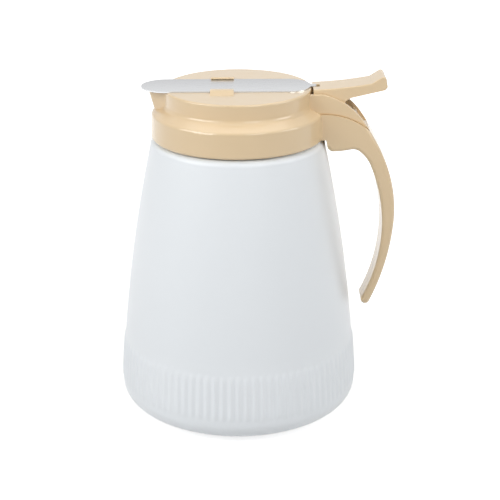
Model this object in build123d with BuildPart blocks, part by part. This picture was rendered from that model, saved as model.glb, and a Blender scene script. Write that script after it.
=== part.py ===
from build123d import *
import os
from math import acos, atan2, cos, hypot, pi, radians, sin, sqrt, tan

# Syrup dispenser: a ribbed blow-moulded jar, a one-piece moulded cap with spout and handle, a stainless
# slide over the spout, and a thumb lever that draws the slide back against a torsion spring.
# Millimetres, +Z up. The origin is the centre of the jar's base, the spout points to -X, the handle to +X.

os.makedirs("parts", exist_ok=True)

# ---------------------------------------------------------------- driving sizes

# Jar
jar_base_radius = 63.8        # widest radius, at the top of the base corner
jar_shoulder_height = 145.6   # where the wall ends and the shoulder rounds in
jar_shoulder_width = 4.7      # wall's top outside the neck
jar_shoulder_round = 3.9
jar_wall_bulge = 2.7          # how far the wall bows out of a straight cone, half way up
jar_wall = 1.8
base_corner_width = 20.0
base_corner_height = 13.2
base_side_radius = 10.0       # tighter of the base corner's two arcs
base_foot_width = 3.8         # flat ring that the jar stands on
base_recess = 2.6             # push-up inside the foot ring
neck_radius = 41.0
neck_wall = 2.7
neck_height = 11.2
neck_step = 0.2               # from the shoulder's round to the neck's foot
rib_count = 96
rib_bottom = 13.6
rib_length = 27.8
rib_fade = 3.5                # ramp at each end of a rib
rib_valley = 0.15             # valleys over the wall
rib_crest = 0.7               # crests over the wall
rib_flat = 0.3                # share of the pitch taken by a crest

# Screw thread, on the jar's neck and inside the cap
thread_pitch = 4.5
thread_turns = 1.25
thread_depth = 1.3
thread_root = 1.9
thread_crest = 0.9
thread_sink = 0.3             # how deep a ridge is rooted in its wall
thread_start = 3.8            # above the neck's foot
thread_gap = 0.45             # axial play between the two threads
cap_thread_clearance = 0.6    # cap thread's crest to the neck

# Cap
seal_thickness = 1.4
seal_inset = 0.3              # seal's edge inside the bore
seal_width = 4.2
cap_wall = 1.9
bore_clearance = 2.0          # collar bore over the jar's neck
collar_foot_gap = 0.6         # collar's foot over the jar's shoulder
collar_bevel_height = 0.8
collar_bevel_width = 0.5
collar_draft = 0.4
shoulder_round = 1.8
shoulder_slope = 30.0         # degrees under level
cap_neck_setback = 6.5        # neck inside the collar's top
cap_neck_wall = 2.1
cap_neck_fillet = 2.8
cap_rim_overhang = 0.2
cap_rim_round = 1.1
cap_plate = 2.0
cap_rise = 13.8               # from the seal's seat to the cap's top
seat_slope_inset = 0.9        # inside the seal, where the cap's underside slopes up to its neck
seat_slope_rise = 4.3

# Spout
spout_reach = 8.3             # lip's tip outside the neck
spout_tip_round = 4.6
spout_half_width = 12.0
spout_root_inset = 2.0        # where its straight sides meet the neck
spout_mouth_inset = 6.0       # rear edge of the mouth in the plate
spout_foot_reach = 4.9
spout_foot_round = 3.4
spout_foot_half_width = 8.6
spout_foot_drop = 12.4        # below the plate's top
spout_wall = 1.6
spout_floor_rise = 3.4

# Slide
slide_thickness = 0.6
slide_half_width = 13.1
slide_nose_overhang = 3.4     # past the lip's tip
slide_taper_length = 12.0     # from full width to the tail
slide_taper_middle = 3.5      # from the tail
slide_taper_middle_half_width = 10.4
slide_tail_half_width = 4.4
slide_tail_gap = 1.83         # tail to the lever's front
tongue_half_width = 2.0
tongue_neck = 1.2             # from the tail to where the tongue is straight
tongue_reach = 1.57           # middle of the turned-down end behind the lever's front
tongue_drop = 5.8             # from the slide's top
tongue_bend = 0.7             # outer radius
hook_length = 12.0
hook_centre = -7.9
hook_overlap = 1.5
hook_side_gap = 0.35
hook_top_gap = 0.25
hook_lip = 0.95
hook_flat = 1.3               # level top outside the post
hook_ramp = 4.6               # slope from there down to the plate
hook_round = 0.45

# Handle, in side view. Heights hang from the cap's top or from the collar's foot.
handle_half_width = 11.8
cheek_half_width = 10.6
cheek_wall = 1.5
cheek_top_drop = 2.0          # under the cap's top
cheek_top_length = 6.0        # level part, outside the neck
cheek_crown_place = (6.1, -6.16)      # out from the pivot, up from the cap's top
cheek_back_place = (16.55, -15.94)
knuckle_place = (12.21, -36.41)       # out from the jar's widest radius, up from the cap's top
grip_back_place = (18.3, -73.1)
grip_end_back_place = (6.8, -117.7)
grip_end_front_place = (2.8, -115.4)
grip_front_place = (12.2, -76.1)
web_corner_place = (5.2, -14.3)       # out from the jar's widest radius, up from the collar's foot
web_foot_end_place = (17.5, -6.6)     # out from the jar's shoulder, up from the collar's foot
web_crest_place = (12.55, -5.4)
web_low_place = (3.9, -6.4)
web_start_place = (0.6, -4.1)
web_root_gap = 0.9                    # web's root outside the collar
ledge_front_place = (-8.0, -12.5)     # out from the pivot, up from the cap's top
ledge_middle_place = (11.3, -15.5)
ledge_back_place = (27.5, -30.1)
cheek_round = 0.5
grip_end_half_width = 7.8
grip_round = 2.0
taper_drop = 36.1             # grip narrows from here to its end
pocket_drop = 18.5            # pocket's floor, under the cap's top
pocket_length = 8.0           # past the pivot
channel_front_drop = 16.4
channel_end_place = (25.0, -22.8)     # out from the pivot, up from the cap's top
stop_rib_thickness = 1.6
stop_gap = 0.3                # stop rib to the lever at its full swing

# Thumb lever, its pin and its spring
pivot_setback = 3.1           # pin's axis outside the collar
pivot_drop = 15.1             # under the cap's top
lever_swing = 42.0            # degrees
lever_side_gap = 0.3          # lever to cheek
lever_nose_gap = 0.63         # lever's front to the cap's rim
# The lever's points are given out from and up from the pin's axis.
lever_nose_rise = 15.3
lever_nose_height = 5.1
lever_shin = (-8.6, 9.4)
lever_shin_foot_rise = 2.0
lever_wall = 1.6
lever_plate = 1.8
lever_front_wall = 1.05
lever_hub_radius = 2.6
lever_hub_inner = 3.3         # inner face of each hub, from the middle
lever_top_middle = (4.9, 16.2)
thumb_dip = (20.5, 18.4)
thumb_ramp_top = (25.3, 21.4)
thumb_peak = (26.5, 21.7)
thumb_back = (27.9, 20.4)
thumb_lip = (28.6, 16.4)
thumb_heel = (27.6, 15.0)
lever_underside = (10.0, 11.0)
lever_knee = (7.4, 9.3)
lever_edge_round = 0.7
groove_half_width = 2.3
bar_rise = 11.2
front_bar_radius = 0.52
rear_bar_gap = 3.57           # from the lever's front
rear_bar_radius = 0.6
bar_rib = 1.0
pin_radius = 1.25
pin_fit_gap = 0.02            # in the handle
pin_running_gap = 0.06        # in the lever's hubs
pin_blind_skin = 1.0
pin_recess = 0.4
spring_wire = 0.8
spring_radius = 1.95          # to the middle of the wire
spring_pitch = 1.25
spring_whole_turns = 4
spring_floor_leg = 7.0
spring_floor_leg_dip = 8.6    # degrees under level
spring_lever_leg = 13.8
spring_lever_leg_lift = 68.0  # degrees over level
cut_margin = 1.0              # how far cuts run past what they open

# ---------------------------------------------------------------- sizes that follow

jar_shoulder_radius = neck_radius + jar_shoulder_width
neck_foot = jar_shoulder_height + jar_shoulder_round + neck_step
jar_height = neck_foot + neck_height
seat_height = jar_height + seal_thickness
cap_height = seat_height + cap_rise
bore_radius = neck_radius + bore_clearance
collar_radius = bore_radius + cap_wall
collar_foot = neck_foot + collar_foot_gap
collar_top_radius = collar_radius - collar_draft
cap_neck_radius = collar_top_radius - cap_neck_setback
cap_rim_radius = cap_neck_radius + cap_rim_overhang
slide_top = cap_height + slide_thickness
pivot_x = collar_radius + pivot_setback
pivot_z = cap_height - pivot_drop
lever_half_width = cheek_half_width - cheek_wall - lever_side_gap
channel_half_width = cheek_half_width - cheek_wall
lever_front = cap_rim_radius + lever_nose_gap
lever_nose_top = pivot_z + lever_nose_rise
bar_height = pivot_z + bar_rise


def moved_from(out, up, place):
    """A point of a side view, given from a reference point."""
    return out + place[0], up + place[1]


def from_pivot(place):
    return moved_from(pivot_x, pivot_z, place)


def under_top(place):
    return moved_from(pivot_x, cap_height, place)


def beside_jar(place):
    return moved_from(jar_base_radius, cap_height, place)


def under_collar(place):
    return moved_from(jar_shoulder_radius, collar_foot, place)


def wall_radius(height):
    """Outer radius of the jar's bowed wall at a height."""
    share = (height - base_corner_height) / (jar_shoulder_height - base_corner_height)
    straight = jar_base_radius + (jar_shoulder_radius - jar_base_radius) * share
    return straight + jar_wall_bulge * 4 * share * (1 - share)


def jar_outline(inset):
    """Half section of the jar's outside, or of its inside when inset is the wall."""
    foot_outer = jar_base_radius - base_corner_width
    foot_inner = foot_outer - base_foot_width
    middle = (base_corner_height + jar_shoulder_height) / 2
    corner_top = (jar_base_radius - inset, base_corner_height)
    wall_top = (jar_shoulder_radius - inset, jar_shoulder_height - inset / 2)
    neck_outer = neck_radius if inset == 0 else neck_radius - neck_wall
    # The base corner is a wide arc and a tight one that meet on the line through their centres.
    side_centre = (jar_base_radius - base_side_radius, base_corner_height)
    across = side_centre[0] - foot_outer
    floor_radius = (across**2 + base_corner_height**2 - base_side_radius**2) / (
        2 * (base_corner_height - base_side_radius)
    )
    lean = atan2(side_centre[1] - floor_radius, across)
    reach = floor_radius - inset
    meeting = (foot_outer + reach * cos(lean), floor_radius + reach * sin(lean))
    Polyline(
        (0, base_recess + inset),
        (foot_inner - 3 * base_recess, base_recess + inset),
        (foot_inner, inset),
        (foot_outer, inset),
    )
    floor_arc = TangentArc((foot_outer, inset), meeting, tangent=(1, 0))
    TangentArc(meeting, corner_top, tangent=floor_arc % 1)
    ThreePointArc(corner_top, (wall_radius(middle) - inset, middle), wall_top)
    shoulder = ThreePointArc(
        wall_top,
        (wall_top[0] - 0.293 * jar_shoulder_round, wall_top[1] + 0.707 * jar_shoulder_round),
        (wall_top[0] - jar_shoulder_round, wall_top[1] + jar_shoulder_round),
    )
    Polyline(
        shoulder @ 1,
        (neck_outer, (shoulder @ 1).Y + neck_step),
        (neck_outer, jar_height),
        (0, jar_height),
        (0, base_recess + inset),
    )


def rib_ring(height, crest):
    """Outline of the ribbed band at a height: a flat crest and a flat valley for each rib."""
    pitch = 2 * pi / rib_count
    ring = []
    for rib in range(rib_count):
        for share, proud in ((0, crest), (rib_flat, crest), (0.5, rib_valley), (0.5 + rib_flat, rib_valley)):
            turn, radius = (rib + share) * pitch, wall_radius(height) + proud
            ring.append((radius * cos(turn), radius * sin(turn)))
    return ring


def thread(root_radius, crest_radius, start_height):
    """One helical ridge, from its root inside the wall to its crest."""
    sink = thread_sink if crest_radius > root_radius else -thread_sink
    path = Helix(
        pitch=thread_pitch,
        height=thread_pitch * thread_turns,
        radius=root_radius,
        center=(0, 0, start_height),
    )
    with BuildPart() as ridge:
        with BuildSketch(Plane.XZ) as section:
            with BuildLine():
                Polyline(
                    (root_radius - sink, start_height - thread_root / 2),
                    (root_radius, start_height - thread_root / 2),
                    (crest_radius, start_height - thread_crest / 2),
                    (crest_radius, start_height + thread_crest / 2),
                    (root_radius, start_height + thread_root / 2),
                    (root_radius - sink, start_height + thread_root / 2),
                    close=True,
                )
            make_face()
        sweep(sections=section.sketch, path=path, is_frenet=True)
    return ridge.part


# ---------------------------------------------------------------- jar

rib_top = rib_bottom + rib_length

with BuildPart() as jar:
    with BuildSketch(Plane.XZ):
        with BuildLine():
            jar_outline(0)
        make_face()
    revolve(axis=Axis.Z)
    rib_levels = (
        (rib_bottom, rib_valley),
        (rib_bottom + rib_fade, rib_crest),
        (rib_top - rib_fade, rib_crest),
        (rib_top, rib_valley),
    )
    for level, crest in rib_levels:
        with BuildSketch(Plane.XY.offset(level)):
            with BuildLine():
                Polyline(*rib_ring(level, crest), close=True)
            make_face()
    loft(ruled=True)
    with BuildSketch(Plane.XZ):
        with BuildLine():
            jar_outline(jar_wall)
        make_face()
    revolve(axis=Axis.Z, mode=Mode.SUBTRACT)
    add(thread(neck_radius, neck_radius + thread_depth, neck_foot + thread_start))

jar.part.label = "jar"
export_step(jar.part, "parts/jar.step")

# ---------------------------------------------------------------- cap

spout_foot = cap_height - spout_foot_drop
spout_tip = cap_neck_radius + spout_reach
spout_foot_tip = cap_neck_radius + spout_foot_reach
spout_root = cap_neck_radius - spout_root_inset
spout_mouth_back = cap_neck_radius - spout_mouth_inset
neck_bore = cap_neck_radius - cap_neck_wall


def wedge(tip, tip_round, root, half_width, back):
    """Plan of the beak, pointing to -X: two straight sides tangent to a rounded tip."""
    centre = -tip + tip_round
    reach = hypot(-root - centre, half_width)
    touch = atan2(half_width, -root - centre) + acos(tip_round / reach)
    touch_x, touch_y = centre + tip_round * cos(touch), tip_round * sin(touch)
    ThreePointArc((touch_x, touch_y), (-tip, 0), (touch_x, -touch_y))
    Polyline(
        (touch_x, -touch_y),
        (-root, -half_width),
        (-back, -half_width),
        (-back, half_width),
        (-root, half_width),
        (touch_x, touch_y),
    )


def cap_outside():
    """Half section of the cap without its hollow."""
    Line((0, cap_height), (cap_rim_radius - cap_rim_round, cap_height))
    rim = RadiusArc(
        (cap_rim_radius - cap_rim_round, cap_height),
        (cap_rim_radius, cap_height - cap_rim_round),
        cap_rim_round,
    )
    # Shoulder: a hollow arc off the neck, a straight slope and a round down to the collar.
    out, up = sin(radians(shoulder_slope)), cos(radians(shoulder_slope))
    slope_start_x = cap_neck_radius + cap_neck_fillet * (1 - out)
    slope_end = (collar_top_radius - shoulder_round * (1 - out), seat_height + shoulder_round * up)
    slope_fall = (slope_end[0] - slope_start_x) * tan(radians(shoulder_slope))
    slope_start = (slope_start_x, slope_end[1] + slope_fall)
    neck_end = (cap_neck_radius, slope_start[1] + cap_neck_fillet * up)
    Line(rim @ 1, neck_end)
    TangentArc(neck_end, slope_start, tangent=(0, -1))
    slope = Line(slope_start, slope_end)
    TangentArc(slope_end, (collar_top_radius, seat_height), tangent=slope % 1)
    Polyline(
        (collar_top_radius, seat_height),
        (collar_radius, collar_foot + collar_bevel_height),
        (collar_radius - collar_bevel_width, collar_foot),
        (0, collar_foot),
        (0, cap_height),
    )


def cap_hollow():
    """Half section of the bore, the seal's seat and the neck's inside."""
    Polyline(
        (0, collar_foot - cut_margin),
        (bore_radius, collar_foot - cut_margin),
        (bore_radius, seat_height),
        (bore_radius - seal_inset - seal_width - seat_slope_inset, seat_height),
        (neck_bore, seat_height + seat_slope_rise),
        (neck_bore, cap_height - cap_plate),
        (0, cap_height - cap_plate),
        close=True,
    )


def handle_outline():
    """Side view of the whole handle, cheeks and grip in one outline."""
    inside = neck_bore + cap_neck_wall / 4
    top = cap_height - cheek_top_drop
    start = Line((inside, collar_foot), (inside, top))
    brow = Line(start @ 1, (cap_neck_radius + cheek_top_length, top))
    cheek = ThreePointArc(brow @ 1, under_top(cheek_crown_place), under_top(cheek_back_place))
    bend = TangentArc(cheek @ 1, beside_jar(knuckle_place), tangent=cheek % 1)
    back = TangentArc(bend @ 1, beside_jar(grip_back_place), tangent=bend % 1)
    low_back = TangentArc(back @ 1, beside_jar(grip_end_back_place), tangent=back % 1)
    tip = TangentArc(low_back @ 1, beside_jar(grip_end_front_place), tangent=low_back % 1)
    web_corner = moved_from(jar_base_radius, collar_foot, web_corner_place)
    front = ThreePointArc(tip @ 1, beside_jar(grip_front_place), web_corner)
    corner = TangentArc(front @ 1, under_collar(web_foot_end_place), tangent=front % 1)
    crest = TangentArc(corner @ 1, under_collar(web_crest_place), tangent=corner % 1)
    low = TangentArc(crest @ 1, under_collar(web_low_place), tangent=crest % 1)
    rise = TangentArc(low @ 1, under_collar(web_start_place), tangent=low % 1)
    Polyline(rise @ 1, (collar_radius + web_root_gap, collar_foot), (inside, collar_foot))


def above_ledge():
    """Side view of the space above the line where the cheeks stand back from the handle's sides."""
    ledge = ThreePointArc(*[under_top(p) for p in (ledge_front_place, ledge_middle_place, ledge_back_place)])
    Polyline(
        ledge @ 1,
        (handle_reach, (ledge @ 1).Y - cheek_wall),
        (handle_reach, cap_height + cut_margin),
        (0, cap_height + cut_margin),
        (0, (ledge @ 0).Y),
        ledge @ 0,
    )


def swung(place):
    """Where a point of the lever, in side view, stands at the lever's full swing."""
    turn = radians(lever_swing)
    return (
        pivot_x + place[0] * cos(turn) + place[1] * sin(turn),
        pivot_z - place[0] * sin(turn) + place[1] * cos(turn),
    )


handle_reach = beside_jar(grip_back_place)[0] + handle_half_width
grip_end = beside_jar(grip_end_back_place)[1] - grip_round
taper_top = cap_height - taper_drop

with BuildPart() as handle_body:
    with BuildSketch(Plane.XZ):
        with BuildLine():
            handle_outline()
        make_face()
        with BuildLine():
            above_ledge()
        make_face(mode=Mode.SUBTRACT)
    extrude(amount=handle_half_width, both=True)
    # The grip narrows towards its end, seen from behind.
    with BuildSketch(Plane.YZ):
        with BuildLine():
            Polyline(
                (-handle_half_width, cap_height),
                (-handle_half_width, taper_top),
                (-grip_end_half_width, grip_end),
                (grip_end_half_width, grip_end),
                (handle_half_width, taper_top),
                (handle_half_width, cap_height),
                close=True,
            )
        make_face()
    extrude(amount=handle_reach, mode=Mode.INTERSECT)
    side_curves = handle_body.edges().filter_by(
        lambda e: abs(e.center().Y) > grip_end_half_width - grip_round / 2 and e.geom_type != GeomType.LINE
    )
    fillet(side_curves.filter_by(lambda e: e.center().Z < under_top(ledge_back_place)[1]), radius=grip_round)

with BuildPart() as handle:
    with BuildSketch(Plane.XZ):
        with BuildLine():
            handle_outline()
        make_face()
        with BuildLine():
            above_ledge()
        make_face(mode=Mode.INTERSECT)
    extrude(amount=cheek_half_width, both=True)
    cheek_edges = handle.edges().filter_by(
        lambda e: abs(e.center().Y) > cheek_half_width - cheek_round
        and e.center().Z > under_top(ledge_middle_place)[1]
        and e.center().X > cap_neck_radius
        and e.length > cheek_top_length / 2
    )
    fillet(cheek_edges.filter_by(lambda e: e.center().Z > pivot_z), radius=cheek_round)
    add(handle_body.part)
    with BuildSketch(Plane.XZ):
        with BuildLine():
            channel_end = under_top(channel_end_place)
            Polyline(
                (0, cap_height - pocket_drop),
                (pivot_x + pocket_length, cap_height - pocket_drop),
                (pivot_x + pocket_length, cap_height - channel_front_drop),
                channel_end,
                (handle_reach, channel_end[1]),
                (handle_reach, cap_height + cut_margin),
                (0, cap_height + cut_margin),
                close=True,
            )
        make_face()
    extrude(amount=channel_half_width, both=True, mode=Mode.SUBTRACT)
    # Stop rib across the channel, under the lever's side walls at full swing.
    stop_x = (swung(lever_knee)[0] + swung(lever_underside)[0]) / 2
    stop_top = swung(lever_underside)[1] - stop_gap
    with BuildSketch(Plane.XZ):
        with Locations((stop_x, stop_top)):
            Rectangle(stop_rib_thickness, stop_top - channel_end[1], align=(Align.CENTER, Align.MAX))
    extrude(amount=channel_half_width, both=True)
    with BuildSketch(Plane.XZ.offset(-handle_half_width)):
        with Locations((pivot_x, pivot_z)):
            Circle(pin_radius + pin_fit_gap)
    extrude(amount=2 * handle_half_width - pin_blind_skin, mode=Mode.SUBTRACT)

spout_floor = spout_foot + spout_floor_rise
floor_share = spout_floor_rise / spout_foot_drop
floor_tip = spout_foot_tip + (spout_tip - spout_foot_tip) * floor_share - spout_wall
floor_half_width = spout_foot_half_width + (spout_half_width - spout_foot_half_width) * floor_share - spout_wall
cap_thread_start = neck_foot + thread_start - (thread_root + thread_crest) / 2 - thread_gap
hook_post = slide_half_width + hook_side_gap
hook_under = slide_top + hook_top_gap
hook_top = hook_under + hook_lip

with BuildPart() as hooks:
    with BuildSketch(Plane.YZ.offset(hook_centre)):
        with BuildLine():
            Polyline(
                (hook_post, cap_height - cap_plate / 2),
                (hook_post, hook_under),
                (slide_half_width - hook_overlap, hook_under),
                (slide_half_width - hook_overlap, hook_top),
                (hook_post + hook_flat, hook_top),
                (hook_post + hook_flat + hook_ramp, cap_height),
                (hook_post + hook_flat + hook_ramp, cap_height - cap_plate / 2),
                close=True,
            )
        make_face()
    extrude(amount=hook_length / 2, both=True)
    fillet(hooks.edges().filter_by(lambda e: e.center().Z > hook_under + hook_lip / 2), radius=hook_round)
    mirror(about=Plane.XZ)

with BuildPart() as cap:
    with BuildSketch(Plane.XZ):
        with BuildLine():
            cap_outside()
        make_face()
    revolve(axis=Axis.Z)
    with BuildSketch(Plane.XY.offset(spout_foot)):
        with BuildLine():
            wedge(spout_foot_tip, spout_foot_round, spout_root, spout_foot_half_width, spout_mouth_back)
        make_face()
    with BuildSketch(Plane.XY.offset(cap_height)):
        with BuildLine():
            wedge(spout_tip, spout_tip_round, spout_root, spout_half_width, spout_mouth_back)
        make_face()
    loft()
    add(handle.part)
    with BuildSketch(Plane.XZ):
        with BuildLine():
            cap_hollow()
        make_face()
    revolve(axis=Axis.Z, mode=Mode.SUBTRACT)
    with BuildSketch(Plane.XY.offset(spout_floor)):
        with BuildLine():
            wedge(floor_tip, spout_foot_round - spout_wall / 2, spout_root, floor_half_width, spout_mouth_back)
        make_face()
    with BuildSketch(Plane.XY.offset(cap_height)):
        with BuildLine():
            wedge(
                spout_tip - spout_wall,
                spout_tip_round - spout_wall,
                spout_root,
                spout_half_width - spout_wall,
                spout_mouth_back,
            )
        make_face()
    loft(mode=Mode.SUBTRACT)
    add(hooks.part)
    add(thread(bore_radius, neck_radius + cap_thread_clearance, cap_thread_start))

cap.part.label = "cap"
export_step(cap.part, "parts/cap.step")

# ---------------------------------------------------------------- seal

with BuildPart() as cap_seal:
    with BuildSketch(Plane.XY.offset(jar_height)):
        Circle(bore_radius - seal_inset)
        Circle(bore_radius - seal_inset - seal_width, mode=Mode.SUBTRACT)
    extrude(amount=seal_thickness)

cap_seal.part.label = "cap_seal"
export_step(cap_seal.part, "parts/cap_seal.step")

# ---------------------------------------------------------------- slide

slide_nose = spout_tip + slide_nose_overhang
slide_tail = lever_front - slide_tail_gap
slide_taper_start = slide_tail - slide_taper_length
tongue_root = slide_tail + tongue_neck
tongue_end = lever_front + tongue_reach

with BuildPart() as slide_blade:
    with BuildSketch(Plane.XY.offset(cap_height)):
        with BuildLine():
            nose_end = (slide_half_width - slide_nose, slide_half_width)
            RadiusArc((-slide_nose, 0), nose_end, slide_half_width)
            Line(nose_end, (slide_taper_start, slide_half_width))
            shoulder = ThreePointArc(
                (slide_taper_start, slide_half_width),
                (slide_tail - slide_taper_middle, slide_taper_middle_half_width),
                (slide_tail, slide_tail_half_width),
            )
            Polyline(
                shoulder @ 1,
                (tongue_root, tongue_half_width),
                (tongue_end - tongue_bend, tongue_half_width),
                (tongue_end - tongue_bend, 0),
            )
            mirror(about=Plane.XZ)
        make_face()
    extrude(amount=slide_thickness)
    with BuildSketch(Plane.XZ):
        with BuildLine():
            tongue_face = tongue_end + slide_thickness / 2
            drop = slide_top - tongue_drop
            bend = RadiusArc(
                (tongue_face - tongue_bend, slide_top), (tongue_face, slide_top - tongue_bend), tongue_bend
            )
            Polyline(
                bend @ 1,
                (tongue_face, drop),
                (tongue_face - slide_thickness, drop),
                (tongue_face - slide_thickness, cap_height),
                (tongue_root, cap_height),
                (tongue_root, slide_top),
                bend @ 0,
            )
        make_face()
    extrude(amount=tongue_half_width, both=True)

slide_blade.part.label = "slide_blade"
export_step(slide_blade.part, "parts/slide_blade.step")

# ---------------------------------------------------------------- lever, pin and spring

front_bar_x = lever_front + lever_front_wall / 2
rear_bar_x = lever_front + rear_bar_gap


def lever_outline():
    """Side view of the lever: top with its thumb stop, underside, hub and front edge."""
    out, up = lever_knee
    touch = atan2(up, out) - acos(lever_hub_radius / hypot(out, up))
    hub_back = (pivot_x + lever_hub_radius * cos(touch), pivot_z + lever_hub_radius * sin(touch))
    top = ThreePointArc((lever_front, lever_nose_top), from_pivot(lever_top_middle), from_pivot(thumb_dip))
    Line(top @ 1, from_pivot(thumb_ramp_top))
    ThreePointArc(from_pivot(thumb_ramp_top), from_pivot(thumb_peak), from_pivot(thumb_back))
    lower = (thumb_back, thumb_lip, thumb_heel, lever_underside, lever_knee)
    Polyline(*[from_pivot(place) for place in lower], hub_back)
    ThreePointArc(hub_back, (pivot_x, pivot_z - lever_hub_radius), (pivot_x - lever_hub_radius, pivot_z))
    Polyline(
        (pivot_x - lever_hub_radius, pivot_z),
        (pivot_x - lever_hub_radius, pivot_z + lever_shin_foot_rise),
        from_pivot(lever_shin),
        (lever_front, lever_nose_top - lever_nose_height),
        (lever_front, lever_nose_top),
    )


with BuildPart() as thumb_lever:
    with BuildSketch(Plane.XZ):
        with BuildLine():
            lever_outline()
        make_face()
    extrude(amount=lever_half_width, both=True)
    top_edges = thumb_lever.edges().filter_by(
        lambda e: abs(e.center().Y) > lever_wall
        and e.center().Z > lever_nose_top
        and e.center().X > lever_front + lever_front_wall
    )
    fillet(top_edges, radius=lever_edge_round)
    # Hollow from below, under the plate and between the side walls.
    with BuildSketch(Plane.XZ):
        with BuildLine():
            Polyline(
                (lever_front + lever_front_wall, pivot_z - 2 * lever_hub_radius),
                (lever_front + lever_front_wall, lever_nose_top - lever_plate),
                from_pivot((lever_top_middle[0], lever_top_middle[1] - lever_plate)),
                from_pivot((thumb_dip[0], thumb_dip[1] - lever_plate)),
                from_pivot((thumb_heel[0] - lever_wall, thumb_back[1] - 1.5 * lever_plate)),
                from_pivot((thumb_heel[0] - lever_wall, -2 * lever_hub_radius)),
                close=True,
            )
        make_face()
    extrude(amount=lever_half_width - lever_wall, both=True, mode=Mode.SUBTRACT)
    # Rear bar of the groove, on a rib that hangs from the plate.
    with BuildSketch(Plane.XZ):
        with Locations((rear_bar_x + bar_rib / 2 - rear_bar_radius / 2, bar_height)):
            Rectangle(bar_rib, lever_nose_top - lever_plate / 2 - bar_height, align=(Align.CENTER, Align.MIN))
        with Locations((rear_bar_x, bar_height)):
            Circle(rear_bar_radius)
    extrude(amount=lever_half_width - lever_wall / 2, both=True)
    with BuildSketch(Plane.XY.offset(bar_height)):
        with Locations((lever_front - cut_margin, 0)):
            Rectangle(rear_bar_gap + cut_margin, 2 * groove_half_width, align=(Align.MIN, Align.CENTER))
    extrude(amount=lever_plate + lever_nose_top - bar_height, mode=Mode.SUBTRACT)
    with BuildSketch(Plane.XZ):
        with Locations((front_bar_x, bar_height)):
            Circle(front_bar_radius)
        with Locations((rear_bar_x, bar_height)):
            Circle(rear_bar_radius)
    extrude(amount=groove_half_width, both=True)
    with BuildSketch(Plane.XZ.offset(lever_hub_inner)):
        with Locations((pivot_x, pivot_z)):
            Circle(lever_hub_radius)
    extrude(amount=lever_half_width - lever_hub_inner)
    with BuildSketch(Plane.XZ.offset(-lever_half_width)):
        with Locations((pivot_x, pivot_z)):
            Circle(lever_hub_radius)
    extrude(amount=lever_half_width - lever_hub_inner)
    with BuildSketch(Plane.XZ.offset(-lever_half_width)):
        with Locations((pivot_x, pivot_z)):
            Circle(pin_radius + pin_running_gap)
    extrude(amount=2 * lever_half_width, mode=Mode.SUBTRACT)

thumb_lever.part.label = "thumb_lever"
export_step(thumb_lever.part, "parts/thumb_lever.step")

with BuildPart() as lever_pin:
    with BuildSketch(Plane.XZ.offset(pin_recess - handle_half_width)):
        with Locations((pivot_x, pivot_z)):
            Circle(pin_radius)
    extrude(amount=2 * handle_half_width - pin_recess - pin_blind_skin)

lever_pin.part.label = "lever_pin"
export_step(lever_pin.part, "parts/lever_pin.step")

# The spring is drawn around +Z, its floor leg first, and then turned so that its axis is the pin's.
# Each quarter turn of the coil is a pair of arcs that meet on one tangent.
leg_spread = (180 + spring_floor_leg_dip + spring_lever_leg_lift) % 360
coil_turns = spring_whole_turns + (360 - leg_spread) / 360
coil_length = coil_turns * spring_pitch
quarters = round(4 * coil_turns)


def on_coil(share):
    """Point and direction of the wire at a share of the coil."""
    turn = 2 * pi * coil_turns * share
    climb = spring_pitch / (2 * pi)
    point = Vector(spring_radius * cos(turn), spring_radius * sin(turn), coil_length * share)
    return point, Vector(-spring_radius * sin(turn), spring_radius * cos(turn), climb).normalized()


def arc_pair(start, start_way, end, end_way):
    """Two arcs from start to end, tangent to both directions and to each other."""
    span, both = end - start, start_way + end_way
    bend = 2 * (1 - start_way.dot(end_way))
    reach = (sqrt(span.dot(both) ** 2 + bend * span.dot(span)) - span.dot(both)) / bend
    first, last = start + start_way * reach, end - end_way * reach
    middle = (first + last) * 0.5
    TangentArc(start, middle, tangent=start_way)
    TangentArc(middle, end, tangent=last - first)


with BuildPart() as coil:
    with BuildLine() as wire:
        for quarter in range(quarters):
            arc_pair(*on_coil(quarter / quarters), *on_coil((quarter + 1) / quarters))
        coil_start, start_way = on_coil(0)
        coil_end, end_way = on_coil(1)
        Line(coil_start - start_way * spring_floor_leg, coil_start)
        Line(coil_end, coil_end + end_way * spring_lever_leg)
    with BuildSketch(Plane(origin=coil_start - start_way * spring_floor_leg, z_dir=start_way)):
        Circle(spring_wire / 2)
    sweep()

points = [on_coil(step / (24 * quarters))[0] for step in range(24 * quarters + 1)]
turn_steps = round(24 * quarters / coil_turns)
gaps = [(b - a).length for i, a in enumerate(points) for b in points[i + turn_steps // 2 :]]
print("spring's least gap between turns", round(min(gaps) - spring_wire, 3))

return_spring = coil.part.rotate(Axis.Z, 90 + spring_floor_leg_dip).rotate(Axis.X, -90)
return_spring = return_spring.moved(Location((pivot_x, -coil_length / 2, pivot_z)))
return_spring.label = "return_spring"
export_step(return_spring, "parts/return_spring.step")
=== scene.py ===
from math import atan2, cos, degrees, pi, radians, sin

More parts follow.
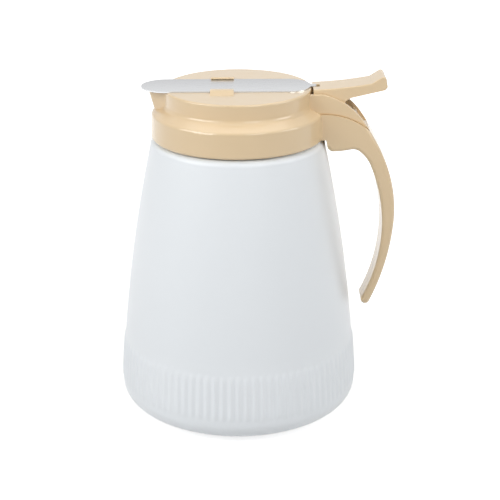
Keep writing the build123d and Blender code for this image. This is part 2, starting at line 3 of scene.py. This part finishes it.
import bmesh
import bpy
from mathutils import Euler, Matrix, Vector


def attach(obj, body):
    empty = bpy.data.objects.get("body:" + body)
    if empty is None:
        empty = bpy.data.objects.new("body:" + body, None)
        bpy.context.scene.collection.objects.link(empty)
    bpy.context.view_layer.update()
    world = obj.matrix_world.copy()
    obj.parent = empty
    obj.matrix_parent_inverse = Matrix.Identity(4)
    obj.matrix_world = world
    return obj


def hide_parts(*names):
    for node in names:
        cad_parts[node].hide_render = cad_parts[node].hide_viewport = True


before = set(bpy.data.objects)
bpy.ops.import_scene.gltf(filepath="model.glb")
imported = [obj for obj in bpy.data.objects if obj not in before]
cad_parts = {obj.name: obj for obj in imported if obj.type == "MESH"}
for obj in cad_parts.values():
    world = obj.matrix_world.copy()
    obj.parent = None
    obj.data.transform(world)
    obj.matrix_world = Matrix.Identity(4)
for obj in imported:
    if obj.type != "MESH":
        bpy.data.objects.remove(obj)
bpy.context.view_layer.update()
MM = 0.001
SHARP_ANGLE = 40.0

# ---------------------------------------------------------------- camera

# Fitted to the jar's outline and the cap's ellipses, in a picture of 500 by 500.
CAMERA_PLACE = (0.0, -0.7004, 0.355)
CAMERA_PITCH_DOWN = 21.03
CAMERA_ROLL = -0.25
FOCAL_PIXELS = 1393.1
FRAME_PIXELS = 500
AXIS_PIXEL = 238.2       # where the jar's axis stands in the picture
SENSOR_WIDTH = 36.0      # millimetres
NEAR_CLIP = 0.01


def add_camera():
    data = bpy.data.cameras.new("camera")
    data.sensor_width = SENSOR_WIDTH
    data.lens = FOCAL_PIXELS / FRAME_PIXELS * data.sensor_width
    data.shift_x = (FRAME_PIXELS / 2 - AXIS_PIXEL) / FRAME_PIXELS
    data.clip_start = NEAR_CLIP
    camera = bpy.data.objects.new("camera", data)
    bpy.context.scene.collection.objects.link(camera)
    camera.location = CAMERA_PLACE
    look = Euler((radians(90 - CAMERA_PITCH_DOWN), 0, 0)).to_matrix()
    roll = Euler((0, 0, radians(CAMERA_ROLL))).to_matrix()
    camera.rotation_euler = (look @ roll).to_euler()
    bpy.context.scene.camera = camera


# ---------------------------------------------------------------- shader nodes

def map_range(tree, value, source, target):
    node = tree.nodes.new("ShaderNodeMapRange")
    tree.links.new(value, node.inputs["Value"])
    node.inputs["From Min"].default_value, node.inputs["From Max"].default_value = source
    node.inputs["To Min"].default_value, node.inputs["To Max"].default_value = target
    return node.outputs["Result"]


def math_node(tree, operation, *values):
    """Each value is a plain number or another node's output."""
    node = tree.nodes.new("ShaderNodeMath")
    node.operation = operation
    for socket, value in zip(node.inputs, values):
        if isinstance(value, float):
            socket.default_value = value
        else:
            tree.links.new(value, socket)
    return node.outputs[0]


def object_place(tree):
    return tree.nodes.new("ShaderNodeTexCoord").outputs["Object"]


# ---------------------------------------------------------------- light

AMBIENT = 0.04
LAMP_TARGET = (0, 0, 0.11)       # a little over half way up the object
SIDE_LAMP = (0.5, 0.5)
OVERHEAD_LAMP = (1.1, 0.8)
LAMPS = (
    ("left_side", (-0.96, -0.35, 0.70), SIDE_LAMP, 3.6),
    ("left", (-0.78, -0.66, 0.70), SIDE_LAMP, 2.7),
    ("left_front", (-0.58, -0.83, 0.70), SIDE_LAMP, 1.2),
    ("right_front", (0.43, -0.92, 0.75), SIDE_LAMP, 3.4),
    ("right_side", (0.98, -0.27, 0.60), SIDE_LAMP, 3.4),
    ("overhead", (0, 0.05, 1.0), OVERHEAD_LAMP, 3.6),
)
FLOOR_HALF_WIDTH = 4.0
FLOOR_GREY = 0.55
FLOOR_ROUGHNESS = 0.9
GLOW_REACH = (0.12, 0.45)        # metres from the jar's axis
GLOW_LEVEL = (0.74, 1.0)         # the glow at those two distances


def add_area(name, place, size, power):
    data = bpy.data.lights.new(name, "AREA")
    data.shape = "RECTANGLE"
    data.size, data.size_y = size
    data.energy = power
    lamp = bpy.data.objects.new(name, data)
    bpy.context.scene.collection.objects.link(lamp)
    lamp.location = place
    lamp.rotation_euler = (Vector(LAMP_TARGET) - Vector(place)).to_track_quat("-Z", "Y").to_euler()


def direct_ray(tree):
    """One where the ray comes from the camera, a mirror or a clear body, otherwise zero."""
    rays = tree.nodes.new("ShaderNodeLightPath").outputs
    mirrored = math_node(tree, "MAXIMUM", rays["Is Camera Ray"], rays["Is Glossy Ray"])
    return math_node(tree, "MAXIMUM", mirrored, rays["Is Transmission Ray"])


def add_world():
    world = bpy.data.worlds.new("studio")
    world.use_nodes = True
    tree = world.node_tree
    background = tree.nodes["Background"]
    background.inputs["Color"].default_value = (1, 1, 1, 1)
    strength = map_range(tree, direct_ray(tree), (0.0, 1.0), (AMBIENT, 1.0))
    tree.links.new(strength, background.inputs["Strength"])
    bpy.context.scene.world = world


def floor_paper():
    """White for a direct ray, a little less so round the object, so that its shadow stays."""
    material, shader = new_material("floor_paper", (FLOOR_GREY, FLOOR_GREY, FLOOR_GREY), FLOOR_ROUGHNESS)
    shader.inputs["Emission Color"].default_value = (1, 1, 1, 1)
    tree = material.node_tree
    distance = tree.nodes.new("ShaderNodeVectorMath")
    distance.operation = "LENGTH"
    tree.links.new(object_place(tree), distance.inputs[0])
    level = map_range(tree, distance.outputs["Value"], GLOW_REACH, GLOW_LEVEL)
    glow = math_node(tree, "MULTIPLY", direct_ray(tree), level)
    tree.links.new(glow, shader.inputs["Emission Strength"])
    return material


def add_floor():
    mesh = bpy.data.meshes.new("floor")
    half = FLOOR_HALF_WIDTH
    corners = [(-half, -half, 0), (half, -half, 0), (half, half, 0), (-half, half, 0)]
    mesh.from_pydata(corners, [], [(0, 1, 2, 3)])
    floor = bpy.data.objects.new("floor", mesh)
    bpy.context.scene.collection.objects.link(floor)
    mesh.materials.append(floor_paper())


# ---------------------------------------------------------------- materials

NOISE_SPREAD = (0.3, 0.7)        # where nearly all of a noise's values lie
FLOW_STRETCH = (1, 1, 0.35)      # the plastic flowed upwards in its mould
GRAIN_STRETCH = (0.02, 1, 1)     # the grain runs along the slide
GRAIN_SHARE = 0.16               # of the steel's colour, next to the painted reflection gradient over the slide's width
PAINTED_REFLECTION_EDGES = (0.012, -0.012) # painted reflection: metres over the slide's width, from its darker rear edge to its brighter front


def new_material(name, base, roughness):
    material = bpy.data.materials.new(name)
    material.use_nodes = True
    shader = material.node_tree.nodes["Principled BSDF"]
    shader.inputs["Base Color"].default_value = (*base, 1)
    shader.inputs["Roughness"].default_value = roughness
    return material, shader


def object_noise(tree, scale, detail=3.0, stretch=(1, 1, 1)):
    mapping = tree.nodes.new("ShaderNodeMapping")
    mapping.inputs["Scale"].default_value = stretch
    tree.links.new(object_place(tree), mapping.inputs["Vector"])
    noise = tree.nodes.new("ShaderNodeTexNoise")
    noise.inputs["Scale"].default_value = scale
    noise.inputs["Detail"].default_value = detail
    tree.links.new(mapping.outputs["Vector"], noise.inputs["Vector"])
    return noise.outputs["Fac"]


def vary_roughness(tree, shader, noise, low, high):
    tree.links.new(map_range(tree, noise, NOISE_SPREAD, (low, high)), shader.inputs["Roughness"])


def vary_colour(tree, shader, share, low, high):
    mix = tree.nodes.new("ShaderNodeMix")
    mix.data_type = "RGBA"
    tree.links.new(share, mix.inputs["Factor"])
    mix.inputs["A"].default_value = (*low, 1)
    mix.inputs["B"].default_value = (*high, 1)
    tree.links.new(mix.outputs["Result"], shader.inputs["Base Color"])


def bump(tree, shader, height, strength, distance):
    node = tree.nodes.new("ShaderNodeBump")
    node.inputs["Strength"].default_value = strength
    node.inputs["Distance"].default_value = distance
    tree.links.new(height, node.inputs["Height"])
    tree.links.new(node.outputs["Normal"], shader.inputs["Normal"])


def glossy_coat(shader, weight, roughness):
    shader.inputs["Coat Weight"].default_value = weight
    shader.inputs["Coat Roughness"].default_value = roughness


def beige_plastic():
    """Glossy moulded ABS, warm cream, with the faint flow and haze of a moulded skin."""
    material, shader = new_material("beige_abs", (0.78, 0.59, 0.355), 0.34)
    tree = material.node_tree
    flow = object_noise(tree, 22, 2.0, FLOW_STRETCH)
    vary_colour(tree, shader, flow, (0.773, 0.583, 0.347), (0.793, 0.602, 0.365))
    vary_roughness(tree, shader, object_noise(tree, 130, 2.0), 0.30, 0.38)
    bump(tree, shader, object_noise(tree, 45, 1.0), 0.05, 0.0002)
    glossy_coat(shader, 0.75, 0.14)
    return material


def jar_plastic():
    """Satin white blow-moulded polyethylene, a little uneven where the bubble of plastic met the mould."""
    material, shader = new_material("jar_polyethylene", (0.88, 0.92, 0.95), 0.48)
    tree = material.node_tree
    vary_colour(tree, shader, object_noise(tree, 18), (0.875, 0.915, 0.945), (0.89, 0.925, 0.955))
    vary_roughness(tree, shader, object_noise(tree, 90), 0.44, 0.52)
    bump(tree, shader, object_noise(tree, 30, 2.0), 0.03, 0.0004)
    glossy_coat(shader, 0.6, 0.36)
    return material


def steel():
    """Stainless sheet with a fine grain along the slide, and a painted reflection that makes it brighter
    towards its front edge.
    """
    material, shader = new_material("stainless_steel", (0.60, 0.61, 0.63), 0.28)
    shader.inputs["Metallic"].default_value = 1.0
    tree = material.node_tree
    grain = object_noise(tree, 900, 3.0, GRAIN_STRETCH)
    vary_roughness(tree, shader, grain, 0.24, 0.32)
    axes = tree.nodes.new("ShaderNodeSeparateXYZ")
    tree.links.new(object_place(tree), axes.inputs[0])
    # Painted reflection: the colour goes from darker at the rear edge to brighter at the front edge, standing
    # in for the reflection of the lights; the grain adds real tone.
    painted_reflection_share = map_range(tree, axes.outputs["Y"], PAINTED_REFLECTION_EDGES, (0.0, 1.0))
    grain_and_painted_reflection = math_node(tree, "MULTIPLY_ADD", grain, GRAIN_SHARE, painted_reflection_share)
    vary_colour(tree, shader, grain_and_painted_reflection, (0.50, 0.505, 0.52), (0.64, 0.65, 0.665))
    bump(tree, shader, grain, 0.04, 0.00002)
    return material


def seal_rubber():
    """Pale food-grade rubber."""
    material, shader = new_material("seal_rubber", (0.62, 0.62, 0.60), 0.7)
    tree = material.node_tree
    vary_roughness(tree, shader, object_noise(tree, 300), 0.62, 0.78)
    bump(tree, shader, object_noise(tree, 700), 0.1, 0.0001)
    return material


def dress(node, material):
    """A CAD node keeps its shape and gets a better material."""
    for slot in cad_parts[node].material_slots:
        slot.link = "OBJECT"
        slot.material = material


# ---------------------------------------------------------------- jar

# Millimetres. The sizes are those of the jar's solid, except the ribs', which are lower and fade out softly.
BASE_RADIUS, BASE_CORNER_WIDTH, BASE_CORNER_HEIGHT = 63.8, 20.0, 13.2
SIDE_RADIUS = 10.0
FOOT_WIDTH, RECESS = 3.8, 2.6
WALL, WALL_BULGE = 1.8, 2.7
SHOULDER_WIDTH, SHOULDER_HEIGHT, SHOULDER_RADIUS = 4.7, 145.6, 3.9
NECK_RADIUS, NECK_WALL, NECK_STEP, NECK_HEIGHT = 41.0, 2.7, 0.2, 11.2
RIBS, RIB_LOW, RIB_HIGH, RIB_FADE = 96, 13.8, 41.2, 4.2
RIB_PROUD, RIB_VALLEY = 0.66, 0.10
THREAD_PITCH, THREAD_TURNS, THREAD_RISE = 4.5, 1.25, 3.8
THREAD_DEPTH, THREAD_SINK, THREAD_ROOT, THREAD_CREST = 1.3, 0.3, 1.9, 0.9

FOOT_OUTER = BASE_RADIUS - BASE_CORNER_WIDTH
FOOT_INNER = FOOT_OUTER - FOOT_WIDTH
RECESS_RUN = 3 * RECESS
SIDE_CENTRE = (BASE_RADIUS - SIDE_RADIUS, BASE_CORNER_HEIGHT)
WALL_FOOT = (BASE_RADIUS, BASE_CORNER_HEIGHT)
WALL_TOP = (NECK_RADIUS + SHOULDER_WIDTH, SHOULDER_HEIGHT)
SHOULDER_CENTRE = (WALL_TOP[0] - SHOULDER_RADIUS, SHOULDER_HEIGHT)
NECK_FOOT = SHOULDER_HEIGHT + SHOULDER_RADIUS + NECK_STEP
NECK_TOP = NECK_FOOT + NECK_HEIGHT
NECK_BORE = NECK_RADIUS - NECK_WALL
THREAD_START = NECK_FOOT + THREAD_RISE

# The base corner's wide arc stands on the foot ring and meets the tight one on the line of centres.
ACROSS = SIDE_CENTRE[0] - FOOT_OUTER
FLOOR_RADIUS = (ACROSS**2 + BASE_CORNER_HEIGHT**2 - SIDE_RADIUS**2) / (2 * (BASE_CORNER_HEIGHT - SIDE_RADIUS))
FLOOR_CENTRE = (FOOT_OUTER, FLOOR_RADIUS)

# How finely the skin is divided.
RIB_COLUMNS, RIB_ROWS, PLAIN_ROWS, INSIDE_ROWS = 8, 26, 30, 12
FLOOR_STEPS, CORNER_STEPS, SHOULDER_STEPS, THREAD_STEPS = 8, 6, 6, 90


def arc_points(centre, radius, start, end, steps):
    """Points of a side view on an arc, angles in degrees."""
    angles = [radians(start + (end - start) * k / steps) for k in range(steps + 1)]
    return [(centre[0] + radius * cos(a), centre[1] + radius * sin(a)) for a in angles]


def wall_point(share, inset):
    straight = WALL_FOOT[0] + (WALL_TOP[0] - WALL_FOOT[0]) * share
    height = WALL_FOOT[1] + (WALL_TOP[1] - WALL_FOOT[1]) * share
    return straight + WALL_BULGE * 4 * share * (1 - share) - inset, height


def jar_side(inset, wall_shares):
    """Half section from the middle of the base up to the neck."""
    meet = degrees(atan2(SIDE_CENTRE[1] - FLOOR_CENTRE[1], SIDE_CENTRE[0] - FLOOR_CENTRE[0]))
    points = [(FOOT_INNER - RECESS_RUN, RECESS + inset), (FOOT_INNER, inset), (FOOT_OUTER, inset)]
    points += arc_points(FLOOR_CENTRE, FLOOR_RADIUS - inset, -90, meet, FLOOR_STEPS)[1:]
    points += arc_points(SIDE_CENTRE, SIDE_RADIUS - inset, meet, 0, CORNER_STEPS)[1:]
    points += [wall_point(share, inset) for share in wall_shares]
    points += arc_points(SHOULDER_CENTRE, SHOULDER_RADIUS - inset, 0, 90, SHOULDER_STEPS)
    return points


def smooth_step(value):
    value = min(1.0, max(0.0, value))
    return value * value * (3 - 2 * value)


def rib_height(radius, height, turn):
    """How far a rib stands out of the wall: rounded crests, narrower valleys, soft ends."""
    if radius < SIDE_CENTRE[0] or not RIB_LOW < height < RIB_HIGH:
        return 0.0
    ends = smooth_step((height - RIB_LOW) / RIB_FADE) * smooth_step((RIB_HIGH - height) / RIB_FADE)
    wave = 0.5 + 0.5 * cos(RIBS * turn)
    return ends * (RIB_VALLEY + (RIB_PROUD - RIB_VALLEY) * smooth_step(wave))


def outside_shares():
    """Shares of the wall's height for its rows, which lie closer together along the ribs."""
    ribbed = [RIB_LOW + (RIB_HIGH - RIB_LOW) * k / RIB_ROWS for k in range(RIB_ROWS + 1)]
    shares = [(height - WALL_FOOT[1]) / (WALL_TOP[1] - WALL_FOOT[1]) for height in ribbed]
    rest = 1 - shares[-1]
    return shares + [shares[-1] + rest * k / PLAIN_ROWS for k in range(1, PLAIN_ROWS + 1)]


def turned_skin(rows, ribbed_rows):
    """Points and faces of the section turned round the jar's axis and closed at both ends."""
    columns = RIBS * RIB_COLUMNS
    points, faces = [], []
    for row, (radius, height) in enumerate(rows):
        for column in range(columns):
            turn = 2 * pi * column / columns
            proud = rib_height(radius, height, turn) if row < ribbed_rows else 0.0
            out = (radius + proud) * MM
            points.append((out * cos(turn), out * sin(turn), height * MM))
    for row in range(len(rows) - 1):
        low, high = row * columns, (row + 1) * columns
        for column in range(columns):
            after = (column + 1) % columns
            faces.append((low + column, low + after, high + after, high + column))
    for row, flip in ((0, True), (len(rows) - 1, False)):
        middle = len(points)
        points.append((0, 0, rows[row][1] * MM))
        for column in range(columns):
            a, b = row * columns + column, row * columns + (column + 1) % columns
            faces.append((middle, b, a) if flip else (middle, a, b))
    return points, faces


def thread_ridge(start):
    """Points and faces of the thread on the neck, numbered on from start."""
    upper = [(-THREAD_SINK, THREAD_ROOT / 2), (0.0, THREAD_ROOT / 2), (THREAD_DEPTH, THREAD_CREST / 2)]
    section = [(out, -up) for out, up in upper] + upper[::-1]
    count = len(section)
    points, faces = [], []
    for step in range(THREAD_STEPS + 1):
        turns = THREAD_TURNS * step / THREAD_STEPS
        turn = 2 * pi * turns
        for out, up in section:
            radius = (NECK_RADIUS + out) * MM
            height = (THREAD_START + THREAD_PITCH * turns + up) * MM
            points.append((radius * cos(turn), radius * sin(turn), height))
    for step in range(THREAD_STEPS):
        first = start + step * count
        for k in range(count):
            a, b = first + k, first + (k + 1) % count
            faces.append((a, a + count, b + count, b))
    last = start + THREAD_STEPS * count
    faces.append(tuple(range(start, start + count)))
    faces.append(tuple(range(last, last + count))[::-1])
    return points, faces


def jar_mesh():
    """The whole jar as one closed skin, outside, neck and inside, with the thread on the neck."""
    outer = jar_side(0.0, outside_shares())
    inner = jar_side(WALL, [k / INSIDE_ROWS for k in range(1, INSIDE_ROWS + 1)])
    neck = [(NECK_RADIUS, NECK_FOOT), (NECK_RADIUS, NECK_TOP), (NECK_BORE, NECK_TOP), (NECK_BORE, NECK_FOOT)]
    points, faces = turned_skin(outer + neck + inner[::-1], len(outer))
    thread_points, thread_faces = thread_ridge(len(points))
    return add_piece("jar_body", points + thread_points, faces + thread_faces)


def add_piece(name, points, faces):
    mesh = bpy.data.meshes.new(name)
    mesh.from_pydata(points, [], faces)
    mesh.validate()
    work = bmesh.new()
    work.from_mesh(mesh)
    bmesh.ops.recalc_face_normals(work, faces=work.faces)
    work.to_mesh(mesh)
    work.free()
    mesh.shade_smooth()
    mesh.set_sharp_from_angle(angle=radians(SHARP_ANGLE))
    piece = bpy.data.objects.new(name, mesh)
    bpy.context.scene.collection.objects.link(piece)
    return piece


# ---------------------------------------------------------------- making

bpy.context.scene.view_settings.view_transform = "Standard"
add_camera()
add_world()
add_floor()
for lamp in LAMPS:
    add_area(*lamp)

beige = beige_plastic()
metal = steel()
jar_body = jar_mesh()
jar_body.data.materials.append(jar_plastic())
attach(jar_body, "jar")
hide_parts("jar")
for moulded in ("cap", "thumb_lever"):
    dress(moulded, beige)
for metal_node in ("slide_blade", "lever_pin", "return_spring"):
    dress(metal_node, metal)
dress("cap_seal", seal_rubber())

bpy.context.view_layer.update()
